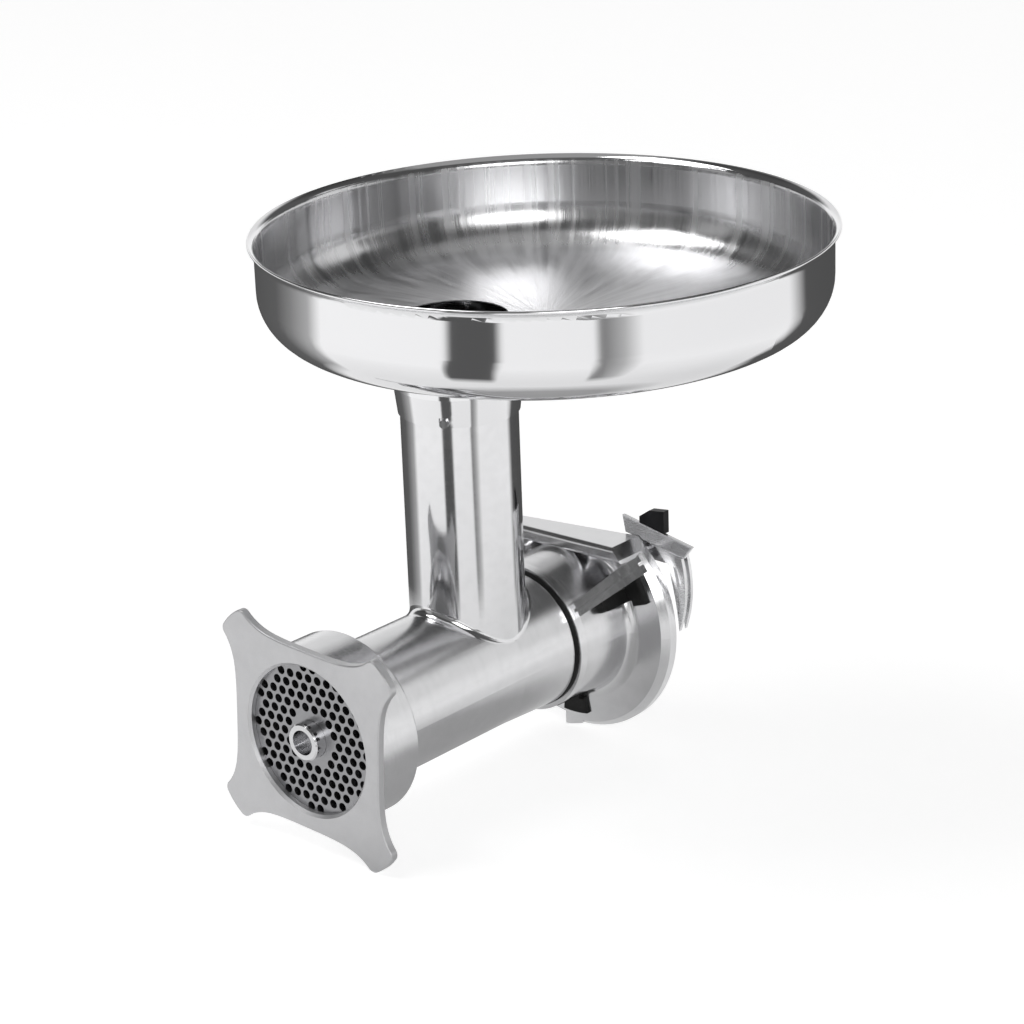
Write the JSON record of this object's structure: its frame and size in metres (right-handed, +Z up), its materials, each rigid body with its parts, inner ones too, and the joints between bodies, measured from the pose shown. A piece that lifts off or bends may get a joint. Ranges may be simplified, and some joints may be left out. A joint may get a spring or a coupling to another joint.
{
  "type": "meat grinder head",
  "caption": "Meat grinder head: round feed tray on an upright tube over a barrel with an auger, knife and perforated plate held by a star ring nut, and a latched rear hub flange.",
  "frame": {"origin": "on the barrel's axis, in the seating face of the rear hub flange", "axes": "+Y back along the barrel towards the drive, +Z up along the feed tube, meat leaves towards -Y"},
  "size_m": [0.2818, 0.2818, 0.2935],
  "materials": {
    "polished_body": "polished stainless steel with fine turning marks",
    "satin_body": "turned stainless steel, polished to a soft shine",
    "polished_tray": "mirror polished stainless sheet",
    "satin_star": "bead blasted matte stainless steel",
    "latch_steel": "brushed stainless sheet",
    "tool_steel": "ground tool steel",
    "polished_pin": "turned stainless steel",
    "cast_screw": "cast stainless steel, tumbled",
    "bronze": "bearing bronze",
    "black_rubber": "black nitrile rubber",
    "black_plastic": "black moulded plastic"
  },
  "bodies": {
    "head": {"grinder_barrel": "satin_body", "feed_tube": "polished_body", "tray_pin": "polished_pin", "plate_pin": "polished_pin", "barrel_screws": "polished_pin", "joint_gasket": "black_rubber", "rear_housing": "satin_body", "housing_ribs": "satin_body", "flange_pads": "black_rubber", "flange_dowel": "polished_pin", "rear_bush": "bronze", "shaft_seal": "black_rubber", "hub_spigot": "polished_body", "latch_pivot_pin": "polished_pin", "latch_spring": "polished_pin"},
    "screw": {"auger": "cast_screw", "auger_stud": "polished_pin", "cutting_knife": "tool_steel", "shank_pin": "polished_pin", "drive_shank": "tool_steel", "thrust_washer": "bronze"},
    "plate": {"grinder_plate": "tool_steel"},
    "ring_nut": {"ring_nut_star": "satin_star", "ring_nut_sleeve": "satin_body"},
    "tray": {"feed_tray": "polished_tray", "tray_neck": "polished_tray", "neck_weld": "polished_body"},
    "latch": {"latch_lever": "latch_steel", "latch_thumb_plate": "latch_steel", "latch_grip": "black_plastic"}
  },
  "joints": [
    {"name": "auger_spin", "type": "hinge", "parent": "head", "child": "screw", "pos_m": [0, -0.1, 0], "axis": [0, 1, 0], "continuous": true},
    {"name": "plate_slide", "type": "slide", "parent": "head", "child": "plate", "axis": [0, -1, 0], "range_m": [0, 0.0151]},
    {"name": "ring_nut_turn", "type": "hinge", "parent": "plate", "child": "ring_nut", "pos_m": [0, -0.203, 0], "axis": [0, -1, 0], "range_deg": [0, 1080]},
    {"name": "tray_lift", "type": "slide", "parent": "head", "child": "tray", "axis": [0, 0, 1], "range_m": [0, 0.06]},
    {"name": "latch_turn", "type": "hinge", "parent": "head", "child": "latch", "pos_m": [0.0396, 0.0061, 0.041], "axis": [0, -1, 0], "range_deg": [0, 25], "stiffness_Nm_per_rad": 0.4, "springref_deg": -22.92}
  ],
  "couplings": [
    {"joint": "plate_slide", "follows": "ring_nut_turn", "m_per_rad": 0.00079577}
  ]
}
